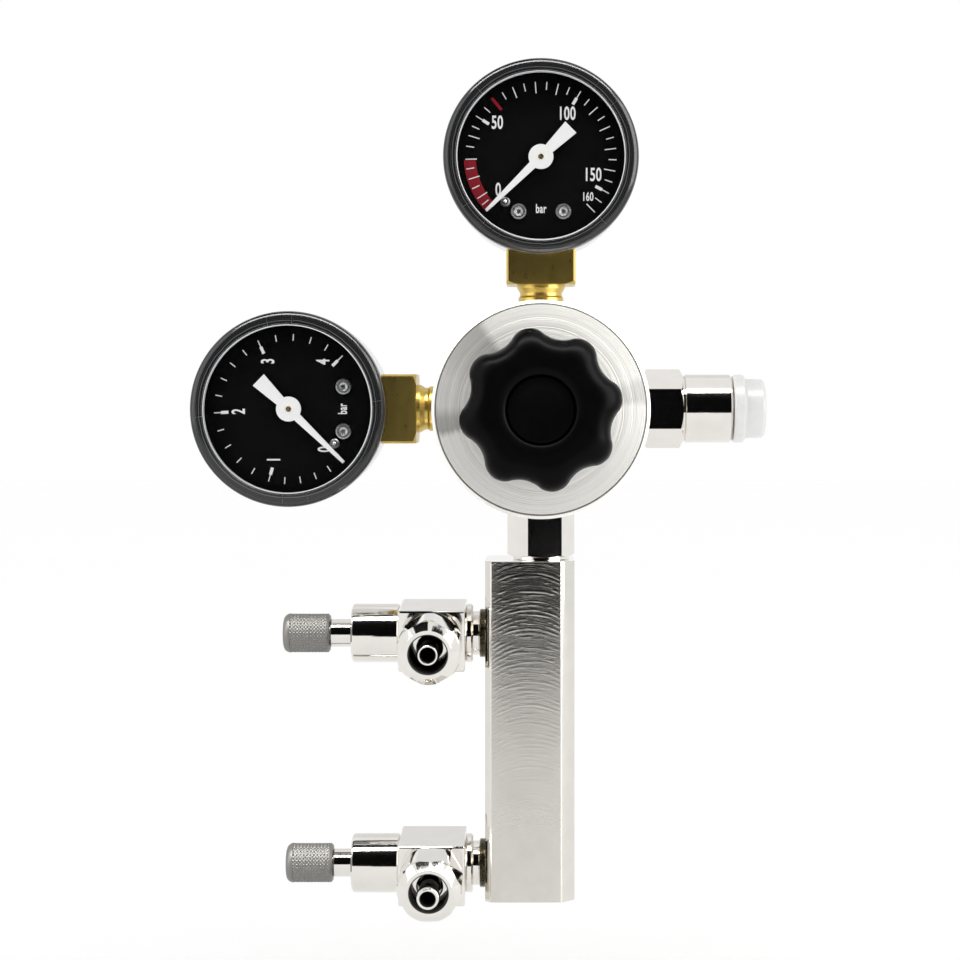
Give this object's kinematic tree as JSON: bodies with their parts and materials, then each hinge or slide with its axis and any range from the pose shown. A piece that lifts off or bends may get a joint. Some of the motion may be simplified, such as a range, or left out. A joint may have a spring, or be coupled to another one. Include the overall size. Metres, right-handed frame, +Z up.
{
  "type": "carbon dioxide regulator",
  "caption": "Gas pressure regulator with star knob, two dial gauges and a square manifold carrying two needle valves with hose nozzles.",
  "frame": {"origin": "centre of the mouth of the inlet connector, where the cylinder screws on", "axes": "+X out of the inlet, +Z up towards the tank gauge, -Y towards the viewer of the dials and the star knob"},
  "size_m": [0.1159, 0.0567, 0.1709],
  "materials": {
    "nickel": "polished nickel plate on brass",
    "milled_nickel": "milled and nickel plated, satin",
    "knurled_nickel": "diamond knurl, matte nickel",
    "brass": "satin bare brass",
    "bright_brass": "bright turned brass",
    "steel": "plain steel",
    "silver_case": "bright drawn steel",
    "black_plastic": "satin moulded black",
    "black_dial": "black dial with plain white scale",
    "white_pointer": "white enamel",
    "clear_lens": "clear push-fit lens",
    "milky_plastic": "translucent white plastic",
    "rubber": "black rubber",
    "white_seal": "white seal"
  },
  "bodies": {
    "root": {"regulator_body": "nickel", "bonnet": "nickel", "diaphragm": "rubber", "main_spring": "steel", "valve_seat": "bright_brass", "poppet_spring": "steel", "poppet_plug": "nickel", "inlet_connector": "nickel", "inlet_filter": "bright_brass", "inlet_seal": "white_seal", "outlet_nipple": "nickel", "manifold_block": "milled_nickel", "tank_gauge_case": "silver_case", "tank_gauge_lens": "clear_lens", "tank_gauge_dial": "black_dial", "tank_gauge_dial_screw_left": "steel", "tank_gauge_dial_screw_right": "steel", "tank_gauge_socket": "brass", "tank_gauge_bourdon_tube": "bright_brass", "tank_gauge_works_frame": "bright_brass", "working_gauge_case": "silver_case", "working_gauge_lens": "clear_lens", "working_gauge_dial": "black_dial", "working_gauge_dial_screw_left": "steel", "working_gauge_dial_screw_right": "steel", "working_gauge_socket": "brass", "working_gauge_bourdon_tube": "bright_brass", "working_gauge_works_frame": "bright_brass", "upper_valve_body": "nickel", "upper_valve_gland": "nickel", "upper_valve_nozzle": "nickel", "upper_valve_port_ring": "steel", "lower_valve_body": "nickel", "lower_valve_gland": "nickel", "lower_valve_nozzle": "nickel", "lower_valve_port_ring": "steel"},
    "diaphragm_plate": {"diaphragm_plate": "bright_brass"},
    "poppet": {"valve_poppet": "bright_brass"},
    "spring_button": {"spring_button": "steel"},
    "adjuster": {"adjusting_spindle": "steel", "adjusting_knob": "black_plastic", "knob_cap": "black_plastic"},
    "inlet_plug": {"inlet_plug": "milky_plastic"},
    "tank_pointer": {"tank_gauge_pointer": "white_pointer", "tank_gauge_pinion": "bright_brass"},
    "tank_sector": {"tank_gauge_sector": "bright_brass"},
    "tank_link": {"tank_gauge_link": "bright_brass"},
    "working_pointer": {"working_gauge_pointer": "white_pointer", "working_gauge_pinion": "bright_brass"},
    "working_sector": {"working_gauge_sector": "bright_brass"},
    "working_link": {"working_gauge_link": "bright_brass"},
    "upper_stem_ring": {"upper_valve_o_ring": "rubber"},
    "upper_stem": {"upper_valve_stem": "nickel", "upper_valve_knob": "knurled_nickel"},
    "upper_nut": {"upper_valve_union_nut": "nickel"},
    "lower_stem_ring": {"lower_valve_o_ring": "rubber"},
    "lower_stem": {"lower_valve_stem": "nickel", "lower_valve_knob": "knurled_nickel"},
    "lower_nut": {"lower_valve_union_nut": "nickel"}
  },
  "joints": [
    {"name": "diaphragm_travel", "type": "slide", "parent": "root", "child": "diaphragm_plate", "axis": [0, 1, 0], "range_m": [0, 0.0005], "stiffness_N_per_m": 100, "springref_m": -0.001, "deforming": ["diaphragm", "main_spring"]},
    {"name": "poppet_travel", "type": "slide", "parent": "root", "child": "poppet", "axis": [0, 1, 0], "range_m": [0, 0.0005], "deforming": ["poppet_spring"]},
    {"name": "spring_button_travel", "type": "slide", "parent": "root", "child": "spring_button", "axis": [0, 1, 0], "range_m": [0, 0.003], "deforming": ["main_spring"]},
    {"name": "adjusting_turn", "type": "hinge", "parent": "spring_button", "child": "adjuster", "pos_m": [-0.039, 0, 0], "axis": [0, 1, 0], "range_deg": [0, 1080]},
    {"name": "inlet_plug_removal", "type": "slide", "parent": "root", "child": "inlet_plug", "axis": [1, 0, 0], "range_m": [0, 0.012]},
    {"name": "tank_pointer_turn", "type": "hinge", "parent": "root", "child": "tank_pointer", "pos_m": [-0.039, 0, 0.0506], "axis": [0, 1, 0], "range_deg": [0, 270.1], "stiffness_Nm_per_rad": 0.00002, "springref_deg": -57.3},
    {"name": "tank_sector_turn", "type": "hinge", "parent": "root", "child": "tank_sector", "pos_m": [-0.0334, 0, 0.04388], "axis": [0, 1, 0], "range_deg": [-45.3, 0.1]},
    {"name": "tank_link_turn", "type": "hinge", "parent": "tank_sector", "child": "tank_link", "pos_m": [-0.03053, 0, 0.04187], "axis": [0, 1, 0], "range_deg": [-0.1, 45.3]},
    {"name": "working_pointer_turn", "type": "hinge", "parent": "root", "child": "working_pointer", "pos_m": [-0.0896, 0, 0], "axis": [0, 1, 0], "range_deg": [0, 271], "stiffness_Nm_per_rad": 0.00002, "springref_deg": -57.3},
    {"name": "working_sector_turn", "type": "hinge", "parent": "root", "child": "working_sector", "pos_m": [-0.08288, 0, 0.0056], "axis": [0, 1, 0], "range_deg": [-45.3, 0.1]},
    {"name": "working_link_turn", "type": "hinge", "parent": "working_sector", "child": "working_link", "pos_m": [-0.08087, 0, 0.00847], "axis": [0, 1, 0], "range_deg": [-0.1, 45.3]},
    {"name": "upper_needle_lift", "type": "slide", "parent": "root", "child": "upper_stem_ring", "axis": [-1, 0, 0], "range_m": [-0.0006, 0.0014]},
    {"name": "upper_needle_turn", "type": "hinge", "parent": "upper_stem_ring", "child": "upper_stem", "pos_m": [-0.0503, 0, -0.0461], "axis": [-1, 0, 0], "range_deg": [-432, 1008]},
    {"name": "upper_nut_removal", "type": "slide", "parent": "root", "child": "upper_nut", "axis": [0, -0.9976, -0.0698], "range_m": [-0.003, 0.0122]},
    {"name": "lower_needle_lift", "type": "slide", "parent": "root", "child": "lower_stem_ring", "axis": [-1, 0, 0], "range_m": [0, 0.002]},
    {"name": "lower_needle_turn", "type": "hinge", "parent": "lower_stem_ring", "child": "lower_stem", "pos_m": [-0.0503, 0, -0.0933], "axis": [-1, 0, 0], "range_deg": [0, 1440]},
    {"name": "lower_nut_removal", "type": "slide", "parent": "root", "child": "lower_nut", "axis": [0, -0.9969, -0.0785], "range_m": [0, 0.0152]}
  ],
  "couplings": [
    {"joint": "poppet_travel", "follows": "diaphragm_travel", "ratio": 1},
    {"joint": "adjusting_turn", "follows": "spring_button_travel", "rad_per_m": 6283.2},
    {"joint": "tank_sector_turn", "follows": "tank_pointer_turn", "ratio": -0.16667},
    {"joint": "tank_link_turn", "follows": "tank_pointer_turn", "ratio": 0.16667},
    {"joint": "working_sector_turn", "follows": "working_pointer_turn", "ratio": -0.16667},
    {"joint": "working_link_turn", "follows": "working_pointer_turn", "ratio": 0.16667},
    {"joint": "upper_needle_turn", "follows": "upper_needle_lift", "rad_per_m": 12566},
    {"joint": "lower_needle_turn", "follows": "lower_needle_lift", "rad_per_m": 12566}
  ]
}
